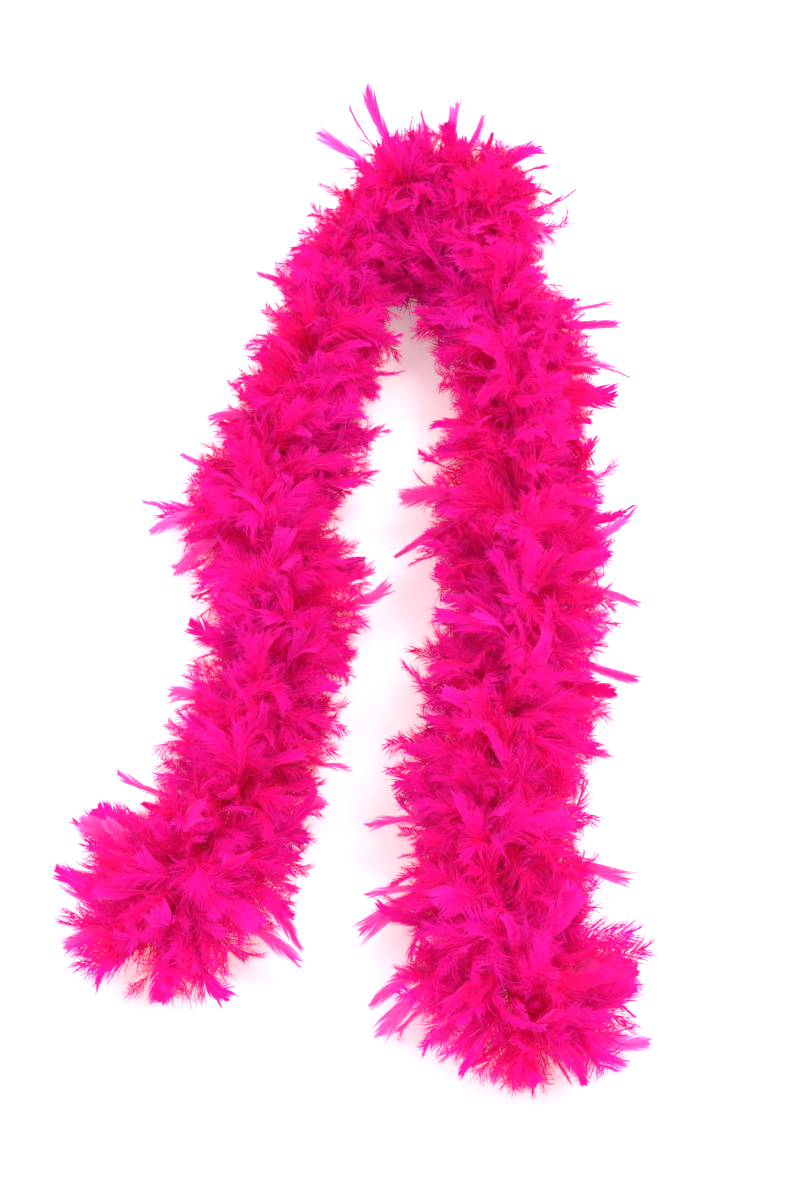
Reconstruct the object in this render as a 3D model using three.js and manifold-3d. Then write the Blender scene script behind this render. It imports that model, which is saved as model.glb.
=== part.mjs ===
// A feather boa: tufts of feathers bound by their quills to a twisted core cord.
//
// It lies flat in a hairpin, with a tight bend at the nape and two legs that run to free ends.
// Millimetres, +Z up. It rests on the plane z = 0, with its bounding box centred on the Z axis.
// The cord is divided into links at flex points, where a real boa bends anywhere along its length.

import * as THREE from 'three';
import { mergeVertices } from 'three/addons/utils/BufferGeometryUtils.js';
import Module from 'manifold-3d';

const wasm = await Module();
wasm.setup();

// Driving dimensions
const CORD_DIAMETER = 6;
const CORD_SIDES = 8;
const CORD_HEIGHT = 50; // its centre over the floor, held up by the feathers under it
const TOUCHING_GAP = 0.3; // between pieces that touch
const FLEX_GAP = 1; // the cord stops this far short of a flex point, so its ends clear when it bends
const TUFT_CLEARANCE = 0.6; // between a tuft and the edge of its own room
const BEND_MARGIN = 1; // degrees added to what a flex point bends

const QUILL_BAND_DIAMETER = 17; // quills bunched round the cord
const QUILL_BAND_SHARE = 0.75; // of one straight step of the cord
const BINDING_DIAMETER = 11;
const BINDING_LENGTH = 9;
const WHIPPING_DIAMETER = 9.5;
const WHIPPING_LENGTH = 10;
const BAND_SIDES = 8;

// The cord's plan, from the left tip over the nape to the right tip, about 1800 mm of it
const ROUTE = [
  [-160, -380], [-146, -349], [-129, -314], [-115, -277], [-105, -240], [-95, -205], [-83, -165],
  [-71, -125], [-67, -95], [-72, -60], [-84, -28], [-93, 10], [-91, 50], [-80, 88], [-65, 135],
  [-50, 180], [-40, 230], [-32, 285], [-13, 338], [15, 384], [53, 413], [91, 415], [120, 394],
  [132, 349], [134, 297], [139, 245], [147, 195], [148, 148], [141, 100], [136, 50], [140, -10],
  [143, -60], [137, -115], [126, -175], [116, -235], [111, -300], [108, -350], [112, -400],
  [122, -437], [137, -468],
];

// Links from the left tip to the right tip: the arc length where each ends, how many tufts it has,
// how far its feathers reach from the cord, and how many degrees the flex point at its end bends
const LINKS = [
  { name: 'left_6', end: 135, tufts: 2, reach: 84, bend: 0 },
  { name: 'left_5', end: 270, tufts: 2, reach: 74, bend: 25 },
  { name: 'left_4', end: 405, tufts: 2, reach: 72, bend: 20 },
  { name: 'left_3', end: 540, tufts: 2, reach: 76, bend: 25 },
  { name: 'left_2', end: 675, tufts: 2, reach: 68, bend: 12 },
  { name: 'left_1', end: 805, tufts: 2, reach: 66, bend: 30 },
  { name: 'nape', end: 930, tufts: 3, reach: 74, bend: 30 },
  { name: 'right_1', end: 1070, tufts: 2, reach: 72, bend: 12 },
  { name: 'right_2', end: 1215, tufts: 2, reach: 80, bend: 25 },
  { name: 'right_3', end: 1360, tufts: 2, reach: 78, bend: 20 },
  { name: 'right_4', end: 1505, tufts: 2, reach: 80, bend: 25 },
  { name: 'right_5', end: 1655, tufts: 2, reach: 84, bend: 0 },
  { name: 'right_6', end: 1800, tufts: 2, reach: 88, bend: 0 },
];
const STEPS_PER_TUFT = 3; // straight steps of the cord
const QUILL_STEP = 1; // of a tuft's steps, the middle one carries the quill band
const BINDING_STEP = 2; // of a link's steps, the one after its first quill band
const CROOK_X = 57; // the plane between the two legs, under the nape

// One feather: how wide and thick it is at shares of its length
const FEATHER = [
  { at: 0, width: 3, thickness: 2 },
  { at: 0.6, width: 27, thickness: 2 },
  { at: 1, width: 9, thickness: 1.6 },
];
// A feather pressed flat on the floor: shares of its reach and of the cord's height
const BELLY_FEATHER = [
  { out: 0.05, height: 0.9, width: 3, thickness: 3 },
  { out: 0.3, height: 0.26, width: 18, thickness: 3 },
  { out: 0.55, height: 0.02, width: 28, thickness: 2 },
  { out: 0.95, height: 0.02, width: 14, thickness: 2 },
];
const FEATHER_ANGLES = [8, 48, 92, 134, 172]; // degrees round the cord, from its left over its top
const LEAN = 17; // degrees along the cord, forwards and backwards by turns
const TIP_LEANS = [38, 62, 50, 66, 34]; // at a free end the feathers splay past it
const TURN = 8; // degrees by which tufts are turned round the cord, at most, to make them differ
const TURN_RATE = 2.4; // radians of the turn's sine wave from one tuft to the next
const STRAY_REACH = 1.38; // one feather in each tuft stands out from the legs' outer sides
const STRAY_ANGLE = 24;
const TWIST = THREE.MathUtils.degToRad(37); // of a feather's width, away from across the cord
const SHRINK_STEP = 0.04; // a feather that doesn't fit is shortened by this share at a time
const SHORTEST = 0.2; // and left out when it would be shorter than this share
const FLOOR_ALLOWANCE = 0.001; // below the floor, so that a feather may lie on it

const UP = new THREE.Vector3(0, 0, 1);
const radians = THREE.MathUtils.degToRad;

const materials = {
  feather: new THREE.MeshStandardMaterial({ color: 0xff1f9b, roughness: 0.75, metalness: 0 }),
  cord: new THREE.MeshStandardMaterial({ color: 0xd81279, roughness: 0.85, metalness: 0 }),
  thread: new THREE.MeshStandardMaterial({ color: 0xb30d5f, roughness: 0.6, metalness: 0 }),
};

const route = new THREE.CatmullRomCurve3(
  ROUTE.map(([x, y]) => new THREE.Vector3(x, y, CORD_HEIGHT)),
  false,
  'centripetal',
);
route.arcLengthDivisions = 2000;
const routeScale = 1 / LINKS.at(-1).end;

// The stretch of the route between two arc lengths
class Stretch extends THREE.Curve {
  constructor(from, to) {
    super();
    this.from = from;
    this.to = to;
  }

  getPoint(t) {
    return route.getPointAt(THREE.MathUtils.lerp(this.from, this.to, t) * routeScale);
  }
}

function pointAndTangent(arc) {
  const share = THREE.MathUtils.clamp(arc * routeScale, 0, 1);
  return { point: route.getPointAt(share), tangent: route.getTangentAt(share) };
}

function polygon(diameter, sides) {
  const corner = (k) => {
    const angle = (2 * Math.PI * k) / sides;
    return new THREE.Vector2(Math.cos(angle), Math.sin(angle)).multiplyScalar(diameter / 2);
  };
  return Array.from({ length: sides }, (_, k) => corner(k));
}

function toSolid(geometry) {
  const bare = geometry.clone();
  bare.deleteAttribute('normal');
  bare.deleteAttribute('uv');
  const { attributes, index } = mergeVertices(bare);
  return new wasm.Manifold(new wasm.Mesh({
    numProp: 3,
    vertProperties: attributes.position.array,
    triVerts: Uint32Array.from(index.array),
  }));
}

function toGeometry(solid) {
  const { vertProperties, triVerts } = solid.getMesh();
  const geometry = new THREE.BufferGeometry();
  geometry.setAttribute('position', new THREE.BufferAttribute(vertProperties, 3));
  geometry.setIndex(new THREE.BufferAttribute(triVerts, 1));
  const faceted = geometry.toNonIndexed();
  faceted.computeVertexNormals();
  return faceted;
}

// The stretch that a link's cord fills, which stops short of the flex points at its ends
function cordStretch(link) {
  const from = link.start + (link.isFirst ? 0 : FLEX_GAP);
  const to = link.end - (link.isLast ? 0 : FLEX_GAP);
  return new Stretch(from, to);
}

function coreCord(link) {
  return new THREE.ExtrudeGeometry(new THREE.Shape(polygon(CORD_DIAMETER, CORD_SIDES)), {
    steps: link.tufts * STEPS_PER_TUFT,
    bevelEnabled: false,
    extrudePath: cordStretch(link),
  });
}

// The middle and direction of one straight step of a link's cord
function stepFrame(link, step) {
  const stretch = cordStretch(link);
  const steps = link.tufts * STEPS_PER_TUFT;
  const ends = [stretch.getPoint(step / steps), stretch.getPoint((step + 1) / steps)];
  const along = ends[1].clone().sub(ends[0]);
  const length = along.length();
  along.normalize();
  return {
    middle: ends[0].clone().lerp(ends[1], 0.5),
    along,
    across: UP.clone().cross(along),
    length,
  };
}

// A ring round one straight step of the cord
function band(frame, diameter, length) {
  const ring = new THREE.Shape(polygon(diameter, BAND_SIDES));
  const flatToCorner = 1 / Math.cos(Math.PI / BAND_SIDES);
  const bore = (CORD_DIAMETER + 2 * TOUCHING_GAP) * flatToCorner;
  ring.holes.push(new THREE.Path(polygon(bore, BAND_SIDES)));
  const geometry = new THREE.ExtrudeGeometry(ring, { depth: length, bevelEnabled: false });
  geometry.translate(0, 0, -length / 2);
  const place = new THREE.Matrix4().makeBasis(frame.across, UP, frame.along);
  return geometry.applyMatrix4(place.setPosition(frame.middle));
}

// A closed strip through four-cornered sections, each { centre, width, thickness }
function loft(sections, wide, thick) {
  const corners = sections.flatMap(({ centre, width, thickness }) => (
    [[-1, -1], [1, -1], [1, 1], [-1, 1]].map(([w, t]) => (
      centre.clone().addScaledVector(wide, (w * width) / 2).addScaledVector(thick, (t * thickness) / 2)
    ))
  ));
  const last = corners.length - 4;
  const faces = [0, 2, 1, 0, 3, 2, last, last + 1, last + 2, last, last + 2, last + 3];
  for (let base = 0; base < last; base += 4) {
    for (let k = 0; k < 4; k += 1) {
      const [a, b] = [base + k, base + ((k + 1) % 4)];
      faces.push(a, b, b + 4, a, b + 4, a + 4);
    }
  }
  const geometry = new THREE.BufferGeometry().setFromPoints(corners);
  geometry.setIndex(faces);
  return geometry;
}

// A straight feather that stands out from the quill band
function standingFeather(frame, angle, lean, reach) {
  const round = frame.across.clone().multiplyScalar(Math.cos(angle)).addScaledVector(UP, Math.sin(angle));
  const out = round.clone().multiplyScalar(Math.cos(lean)).addScaledVector(frame.along, Math.sin(lean));
  const crossways = out.clone().cross(frame.along).normalize();
  const lengthways = crossways.clone().cross(out);
  const wide = crossways.multiplyScalar(Math.cos(TWIST)).addScaledVector(lengthways, Math.sin(TWIST));
  const root = frame.middle.clone().addScaledVector(round, (QUILL_BAND_DIAMETER + CORD_DIAMETER) / 4);
  const sections = FEATHER.map(({ at, width, thickness }) => ({
    centre: root.clone().addScaledVector(out, at * (reach - root.distanceTo(frame.middle))),
    width,
    thickness,
  }));
  return loft(sections, wide, out.clone().cross(wide));
}

// A feather that comes down from the quill band and lies on the floor, on one side of the cord
function bellyFeather(frame, side, lean, reach) {
  const out = frame.across.clone().multiplyScalar(side * Math.cos(lean))
    .addScaledVector(frame.along, Math.sin(lean));
  const sections = BELLY_FEATHER.map(({ out: share, height, width, thickness }) => ({
    centre: frame.middle.clone().setZ(height * CORD_HEIGHT).addScaledVector(out, share * reach),
    width,
    thickness,
  }));
  return loft(sections, UP.clone().cross(out), UP);
}

// What bounds a tuft: cones that open away from the flex points, so that tufts clear each other when
// the cord bends, and planes between tufts, at the floor and between the legs. A plane is a flat cone.
function roomOf(link, index) {
  const length = (link.end - link.start) / link.tufts;
  const [start, end] = [link.start + index * length, link.start + (index + 1) * length];
  const slope = (bend) => (bend ? Math.tan(radians(bend / 2 + BEND_MARGIN)) : 0);
  const atStart = pointAndTangent(start);
  const atEnd = pointAndTangent(end);
  const floor = new THREE.Vector3(0, 0, -TUFT_CLEARANCE - FLOOR_ALLOWANCE);
  const limits = [{ apex: floor, axis: UP, slope: 0 }];
  if (!(link.isFirst && index === 0)) {
    limits.push({
      apex: atStart.point, axis: atStart.tangent, slope: index === 0 ? slope(link.bendBefore) : 0,
    });
  }
  if (!(link.isLast && index === link.tufts - 1)) {
    limits.push({
      apex: atEnd.point,
      axis: atEnd.tangent.negate(),
      slope: index === link.tufts - 1 ? slope(link.bend) : 0,
    });
  }
  if (link.name !== 'nape') {
    const side = link.name.startsWith('left') ? -1 : 1;
    limits.push({
      apex: new THREE.Vector3(CROOK_X, 0, 0), axis: new THREE.Vector3(side, 0, 0), slope: 0,
    });
  }
  return limits;
}

function isInside(geometry, limits) {
  const { position } = geometry.attributes;
  const point = new THREE.Vector3();
  for (let k = 0; k < position.count; k += 1) {
    for (const { apex, axis, slope } of limits) {
      point.fromBufferAttribute(position, k).sub(apex);
      const ahead = point.dot(axis);
      const aside = Math.sqrt(Math.max(0, point.lengthSq() - ahead * ahead));
      if (ahead - TUFT_CLEARANCE < slope * aside) return false;
    }
  }
  return true;
}

// The longest feather, up to its full reach, that keeps inside its tuft's room
function longestThatFits(make, reach, limits) {
  for (let share = 1; share > SHORTEST; share -= SHRINK_STEP) {
    const feather = make(share * reach);
    if (isInside(feather, limits)) return [feather];
  }
  return [];
}

// A quill band and its feathers, one closed body
function featherTuft(link, index, order) {
  const frame = stepFrame(link, index * STEPS_PER_TUFT + QUILL_STEP);
  const limits = roomOf(link, index);
  const isTip = (link.isFirst && index === 0) || (link.isLast && index === link.tufts - 1);
  const outwards = link.isFirst ? -1 : 1;
  const leanOf = (k) => (isTip ? outwards * TIP_LEANS[k] : LEAN * (-1) ** (k + order));
  const turn = TURN * Math.sin(TURN_RATE * order);
  const feathers = FEATHER_ANGLES.flatMap((angle, k) => longestThatFits(
    (reach) => standingFeather(frame, radians(angle + turn), radians(leanOf(k)), reach),
    link.reach,
    limits,
  ));
  for (const side of [-1, 1]) {
    const lean = isTip ? outwards * TIP_LEANS[0] : 0;
    feathers.push(...longestThatFits(
      (reach) => bellyFeather(frame, side, radians(lean), reach),
      link.reach,
      limits,
    ));
  }
  // From the left tip to the right one, the cord's left is the hairpin's outside on both legs
  const strayAngle = STRAY_ANGLE + turn;
  const strayLean = isTip ? outwards * TIP_LEANS[0] / 2 : -LEAN * (-1) ** order;
  feathers.push(...longestThatFits(
    (reach) => standingFeather(frame, radians(strayAngle), radians(strayLean), reach),
    link.reach * STRAY_REACH,
    limits,
  ));
  const quills = toSolid(band(frame, QUILL_BAND_DIAMETER, frame.length * QUILL_BAND_SHARE));
  return toGeometry(feathers.reduce((tuft, feather) => tuft.add(toSolid(feather)), quills));
}

function named(name, geometry, material) {
  const mesh = new THREE.Mesh(geometry, material);
  mesh.name = name;
  return mesh;
}

// The links with what their neighbours give them
const links = LINKS.map((link, k) => ({
  ...link,
  start: k ? LINKS[k - 1].end : 0,
  bendBefore: k ? LINKS[k - 1].bend : 0,
  isFirst: k === 0,
  isLast: k === LINKS.length - 1,
}));

const boa = new THREE.Group();
let order = 0;
for (const link of links) {
  boa.add(named(`core_cord_${link.name}`, coreCord(link), materials.cord));
  for (let index = 0; index < link.tufts; index += 1) {
    const name = `feather_tuft_${link.name}_${'abc'[index]}`;
    boa.add(named(name, featherTuft(link, index, order), materials.feather));
    order += 1;
  }
  const binding = band(stepFrame(link, BINDING_STEP), BINDING_DIAMETER, BINDING_LENGTH);
  boa.add(named(`thread_binding_${link.name}`, binding, materials.thread));
}
const tips = [
  { name: 'end_whipping_left', frame: stepFrame(links[0], 0) },
  { name: 'end_whipping_right', frame: stepFrame(links.at(-1), links.at(-1).tufts * STEPS_PER_TUFT - 1) },
];
for (const { name, frame } of tips) {
  boa.add(named(name, band(frame, WHIPPING_DIAMETER, WHIPPING_LENGTH), materials.thread));
}

export default boa;
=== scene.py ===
"""A hot pink feather boa, laid on a pale floor in a hairpin.

Dyed turkey flats and their down stand out all round a twisted core cord, bound on by thread. Every
feather is real geometry: a tapered shaft with a ribbon for each barb. A few feather patterns are made
flat, with places counted in feather lengths, and each feather bends one of them to its own curve.
Units are metres.
"""

import math

import bpy
import numpy as np
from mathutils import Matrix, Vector


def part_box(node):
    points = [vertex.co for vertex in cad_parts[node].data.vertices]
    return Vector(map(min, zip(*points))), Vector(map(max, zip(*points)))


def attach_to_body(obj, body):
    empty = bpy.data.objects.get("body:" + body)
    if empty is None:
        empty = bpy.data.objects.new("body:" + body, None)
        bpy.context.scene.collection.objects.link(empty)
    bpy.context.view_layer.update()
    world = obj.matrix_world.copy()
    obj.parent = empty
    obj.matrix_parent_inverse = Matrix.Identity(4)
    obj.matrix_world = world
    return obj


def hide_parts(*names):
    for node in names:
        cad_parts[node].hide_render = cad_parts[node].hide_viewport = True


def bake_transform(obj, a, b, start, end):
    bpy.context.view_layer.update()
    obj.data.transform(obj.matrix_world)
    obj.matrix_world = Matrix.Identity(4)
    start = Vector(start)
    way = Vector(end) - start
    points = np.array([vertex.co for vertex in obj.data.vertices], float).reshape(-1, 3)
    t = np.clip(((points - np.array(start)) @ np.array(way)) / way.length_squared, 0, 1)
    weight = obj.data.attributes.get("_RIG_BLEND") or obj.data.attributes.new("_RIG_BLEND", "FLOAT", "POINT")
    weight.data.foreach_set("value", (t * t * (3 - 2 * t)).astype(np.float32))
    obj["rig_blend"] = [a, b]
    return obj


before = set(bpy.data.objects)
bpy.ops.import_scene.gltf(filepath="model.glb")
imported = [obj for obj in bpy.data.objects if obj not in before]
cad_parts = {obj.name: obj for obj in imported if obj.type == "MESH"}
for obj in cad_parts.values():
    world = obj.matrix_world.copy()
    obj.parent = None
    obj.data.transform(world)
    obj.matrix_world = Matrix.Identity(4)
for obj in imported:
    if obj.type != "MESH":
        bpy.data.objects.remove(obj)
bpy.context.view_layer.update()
SEED = 7

# ---------------------------------------------------------------- sizes

CORD_DIAMETER = 0.006
CORD_HEIGHT = 0.050
PLY_COUNT = 3
PLY_PITCH = 0.018  # length of one full turn of the plies

# The cord's plan from the left tip over the nape to the right tip
ROUTE = np.array([
    (-0.160, -0.380), (-0.146, -0.349), (-0.129, -0.314), (-0.115, -0.277), (-0.105, -0.240),
    (-0.095, -0.205), (-0.083, -0.165), (-0.071, -0.125), (-0.067, -0.095), (-0.072, -0.060),
    (-0.084, -0.028), (-0.093, 0.010), (-0.091, 0.050), (-0.080, 0.088), (-0.065, 0.135),
    (-0.050, 0.180), (-0.040, 0.230), (-0.032, 0.285), (-0.013, 0.338), (0.015, 0.384),
    (0.053, 0.413), (0.091, 0.415), (0.120, 0.394), (0.132, 0.349), (0.134, 0.297),
    (0.139, 0.245), (0.147, 0.195), (0.148, 0.148), (0.141, 0.100), (0.136, 0.050),
    (0.140, -0.010), (0.143, -0.060), (0.137, -0.115), (0.126, -0.175), (0.116, -0.235),
    (0.111, -0.300), (0.108, -0.350), (0.112, -0.400), (0.122, -0.437), (0.137, -0.468),
])

# Links of the cord: body name, arc length where it ends, and how many tufts it has
LINKS = [
    ("left_6", 0.135, 2), ("left_5", 0.270, 2), ("left_4", 0.405, 2), ("left_3", 0.540, 2),
    ("left_2", 0.675, 2), ("left_1", 0.805, 2), ("nape", 0.930, 3), ("right_1", 1.070, 2),
    ("right_2", 1.215, 2), ("right_3", 1.360, 2), ("right_4", 1.505, 2), ("right_5", 1.655, 2),
    ("right_6", 1.800, 2),
]
BODIES = [body for body, _, _ in LINKS]
JOINTS_AT = [end for _, end, _ in LINKS[:-1]]

# How full the plumage is: at each arc length, its reach on the cord's left and on its right
FULLNESS = np.array([
    (0.00, 0.096, 0.092), (0.06, 0.088, 0.084), (0.09, 0.054, 0.060), (0.13, 0.054, 0.058),
    (0.18, 0.058, 0.058), (0.24, 0.060, 0.056), (0.30, 0.060, 0.062), (0.36, 0.067, 0.062),
    (0.40, 0.070, 0.064), (0.44, 0.070, 0.056), (0.48, 0.052, 0.076), (0.52, 0.062, 0.070),
    (0.56, 0.052, 0.050), (0.62, 0.048, 0.064), (0.68, 0.050, 0.050), (0.73, 0.046, 0.058),
    (0.79, 0.034, 0.100), (0.84, 0.050, 0.116), (0.90, 0.054, 0.120), (0.94, 0.056, 0.114),
    (0.99, 0.028, 0.098), (1.04, 0.040, 0.076), (1.08, 0.066, 0.078), (1.12, 0.068, 0.076),
    (1.16, 0.065, 0.056), (1.20, 0.062, 0.053), (1.25, 0.070, 0.064), (1.31, 0.092, 0.086),
    (1.36, 0.068, 0.056),
    (1.42, 0.072, 0.062), (1.48, 0.075, 0.070), (1.55, 0.082, 0.082), (1.60, 0.070, 0.060),
    (1.65, 0.076, 0.074), (1.70, 0.078, 0.072), (1.75, 0.090, 0.072), (1.80, 0.100, 0.072),
])
TOP_REACH = 0.055  # the most that feathers reach straight up
SPLAYED = 0.045  # feathers this near a free end lean past it,
SPLAY = 1.0  # by up to this much, in radians,
SHORT_ENDS = 0.28  # and reach less far, by up to this share
BLEND_REACH = 0.045  # a joint's bend is spread this far to each side of it along the cord
BESIDE_JOINT = 0.06  # a tuft whose middle is nearer than this to a joint bends across it

FLATS_PER_TUFT = 16
END_FLATS = 30  # in the tufts at the free ends, which are mostly flats
SEMIPLUMES_PER_TUFT = 58
DOWNS_PER_TUFT = 54
FLAT_REACH = 1.18  # of the plumage's reach
SEMIPLUME_REACH = 1.07
DOWN_REACH = 0.92
FLAT_LOWEST = math.radians(-22)  # below the cord's side
SEMIPLUME_LOWEST = math.radians(-34)
DOWN_LOWEST = math.radians(-70)
FLAT_LIMP = 1.25  # how far it curls over, in radians
SEMIPLUME_LIMP = 1.45
DOWN_LIMP = 1.2
GOLDEN_SHARE = 0.618034  # of a turn round the cord, from one feather to the next
CURL_TAKES = 0.17  # extra length for the reach that a curl takes away, per square radian of it
ROOT_RADIUS = 0.0026  # how far from the cord's centre a quill starts
FLOOR_SOFTNESS = 0.004  # height over which feathers flatten onto the floor
FLOOR_GAP = 0.0004
FLOOR_SIZE = 12.0
FLOOR_GLOW = 0.22  # a light table, so that shadows stay faint
SKY_LIGHT = 1.08
KEY_POWER = 46
FILL_POWER = 18

THREAD_RADIUS = 0.0005
THREAD_SIDES = 6
THREAD_STATIONS = 14  # in each turn
PLY_RADIUS = CORD_DIAMETER * 0.268
PLY_SIDES = 8
CORD_STEP = 0.0015

# Long feathers that stand clear of the rest: where each tip lies, the width of the vane as a share of
# its length, and how far along the cord its root is from the point nearest to the tip
STRAYS_NARROWER = 0.80  # what the widths are multiplied by
STRAYS = [
    ((-0.010, 0.510, 0.095), 0.20, 0.015), ((-0.026, 0.506, 0.070), 0.07, 0.030),
    ((-0.048, 0.500, 0.055), 0.16, 0.020), ((0.052, 0.507, 0.070), 0.14, 0.000),
    ((0.098, 0.512, 0.075), 0.20, -0.010), ((0.122, 0.490, 0.080), 0.12, -0.030),
    ((0.160, 0.462, 0.060), 0.22, -0.020), ((0.212, 0.412, 0.060), 0.10, 0.000),
    ((0.190, 0.346, 0.050), 0.26, -0.060), ((0.184, 0.360, 0.040), 0.16, -0.050),
    ((0.248, 0.240, 0.055), 0.20, -0.030), ((0.244, 0.255, 0.060), 0.10, 0.010),
    ((0.254, 0.175, 0.050), 0.14, -0.010), ((0.235, 0.160, 0.035), 0.24, -0.020),
    ((0.250, 0.018, 0.062), 0.26, 0.040), ((0.222, -0.015, 0.040), 0.10, -0.010),
    ((0.248, -0.076, 0.050), 0.15, -0.015), ((0.246, -0.145, 0.045), 0.14, -0.020),
    ((0.212, -0.236, 0.050), 0.14, -0.010), ((0.222, -0.343, 0.040), 0.16, -0.055),
    ((0.220, -0.405, 0.030), 0.26, 0.000), ((0.234, -0.470, 0.030), 0.26, 0.000),
    ((0.215, -0.490, 0.025), 0.18, 0.010), ((0.171, -0.505, 0.025), 0.16, 0.000),
    ((0.105, -0.502, 0.025), 0.22, 0.000), ((0.060, -0.480, 0.030), 0.20, -0.020),
    ((0.012, -0.458, 0.020), 0.26, -0.035), ((0.030, -0.466, 0.020), 0.22, -0.025),
    ((0.010, -0.442, 0.025), 0.20, -0.020), ((0.000, -0.379, 0.030), 0.20, -0.050),
    ((0.004, -0.338, 0.045), 0.14, 0.000), ((0.006, -0.292, 0.040), 0.24, -0.010),
    ((-0.008, -0.241, 0.050), 0.14, -0.035), ((0.031, -0.020, 0.030), 0.18, -0.055),
    ((0.043, -0.030, 0.040), 0.10, -0.035), ((0.036, 0.030, 0.045), 0.26, -0.010),
    ((-0.033, -0.267, 0.030), 0.30, 0.045), ((-0.112, 0.289, 0.060), 0.16, 0.000),
    ((-0.172, 0.086, 0.055), 0.28, 0.000), ((-0.205, 0.034, 0.050), 0.24, 0.000),
    ((-0.199, 0.009, 0.040), 0.22, 0.020), ((-0.172, -0.030, 0.040), 0.26, 0.020),
    ((-0.114, 0.202, 0.060), 0.10, 0.000), ((-0.149, 0.126, 0.050), 0.26, 0.020),
    ((-0.208, -0.244, 0.055), 0.22, 0.010), ((-0.170, -0.165, 0.050), 0.26, 0.010),
    ((-0.234, -0.290, 0.060), 0.26, 0.000), ((-0.212, -0.300, 0.075), 0.32, 0.000),
    ((-0.252, -0.331, 0.050), 0.16, 0.000), ((-0.251, -0.344, 0.035), 0.22, 0.000),
    ((-0.243, -0.391, 0.030), 0.30, 0.000), ((-0.205, -0.412, 0.025), 0.30, 0.000),
    ((-0.128, -0.412, 0.030), 0.26, 0.000), ((-0.040, -0.384, 0.030), 0.18, 0.035),
    ((-0.050, -0.408, 0.025), 0.20, 0.020), ((-0.055, -0.350, 0.035), 0.26, 0.020),
    ((0.026, -0.068, 0.055), 0.34, 0.000), ((0.010, -0.040, 0.045), 0.26, 0.000),
    ((0.022, 0.114, 0.050), 0.26, -0.020), ((0.036, 0.180, 0.050), 0.22, 0.000),
    ((0.016, 0.242, 0.040), 0.20, 0.000), ((0.066, 0.268, 0.030), 0.26, -0.010),
]

# ---------------------------------------------------------------- the cord's line


def catmull_rom(points, per_span=60):
    """A dense polyline on the centripetal Catmull-Rom curve through the points."""
    first = 2 * points[0] - points[1]
    last = 2 * points[-1] - points[-2]
    p = np.vstack([first, points, last])
    t = np.linspace(0, 1, per_span, endpoint=False)[:, None]
    spans = []
    for k in range(1, len(p) - 2):
        p0, p1, p2, p3 = p[k - 1], p[k], p[k + 1], p[k + 2]
        d0, d1, d2 = (math.sqrt(np.linalg.norm(b - a)) for a, b in ((p0, p1), (p1, p2), (p2, p3)))
        m1 = ((p1 - p0) / d0 - (p2 - p0) / (d0 + d1) + (p2 - p1) / d1) * d1
        m2 = ((p2 - p1) / d1 - (p3 - p1) / (d1 + d2) + (p3 - p2) / d2) * d1
        c2 = -3 * p1 + 3 * p2 - 2 * m1 - m2
        c3 = 2 * p1 - 2 * p2 + m1 + m2
        spans.append(p1 + m1 * t + c2 * t**2 + c3 * t**3)
    return np.vstack([*spans, points[-1:]])


LINE = catmull_rom(ROUTE)
ARC = np.concatenate([[0], np.cumsum(np.linalg.norm(np.diff(LINE, axis=0), axis=1))])


def cord_point(arc):
    """The cord's centre at each arc length."""
    arc = np.asarray(arc, float)
    x, y = (np.interp(arc, ARC, LINE[:, k]) for k in (0, 1))
    return np.stack([x, y, np.full_like(x, CORD_HEIGHT)], -1)


def cord_tangent(arc, step=0.003):
    """The cord's direction at each arc length, towards the right tip."""
    d = cord_point(np.minimum(arc + step, ARC[-1])) - cord_point(np.maximum(np.asarray(arc) - step, 0))
    return unit(d)


def unit(v):
    return v / np.maximum(np.linalg.norm(v, axis=-1, keepdims=True), 1e-12)


def left_of(tangent):
    """The level direction to the left of each tangent."""
    return np.stack([-tangent[..., 1], tangent[..., 0], np.zeros_like(tangent[..., 0])], -1)


def nearest_arc(place):
    """The arc length of the point of the cord nearest to a place."""
    arcs = np.linspace(0, ARC[-1], 1801)
    return float(arcs[np.argmin(np.linalg.norm(cord_point(arcs) - place, axis=1))])


def node_middle_arc(node):
    """The arc length beside the middle of a CAD node."""
    lo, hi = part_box(node)
    return nearest_arc(np.array((lo + hi) / 2))


def bend_zone(joint):
    """Where a joint's bend starts and ends, as two points on the cord."""
    return [tuple(map(float, cord_point(joint + d))) for d in (-BLEND_REACH, BLEND_REACH)]


UP = np.array([0.0, 0.0, 1.0])

# ---------------------------------------------------------------- camera

VIEW_TARGET = Vector((0.033, -0.043, 0.0))
VIEW_ELEVATION = math.radians(60)
VIEW_DISTANCE = 1.7716
LENS = 57.0

camera = bpy.data.objects.new("camera", bpy.data.cameras.new("camera"))
camera.data.lens = LENS
camera.data.sensor_width = 36.0
back = Vector((0, -math.cos(VIEW_ELEVATION), math.sin(VIEW_ELEVATION)))
camera.location = VIEW_TARGET + back * VIEW_DISTANCE
camera.rotation_euler = (-back).to_track_quat("-Z", "Y").to_euler()
bpy.context.scene.collection.objects.link(camera)
bpy.context.scene.camera = camera

# ---------------------------------------------------------------- materials


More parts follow.
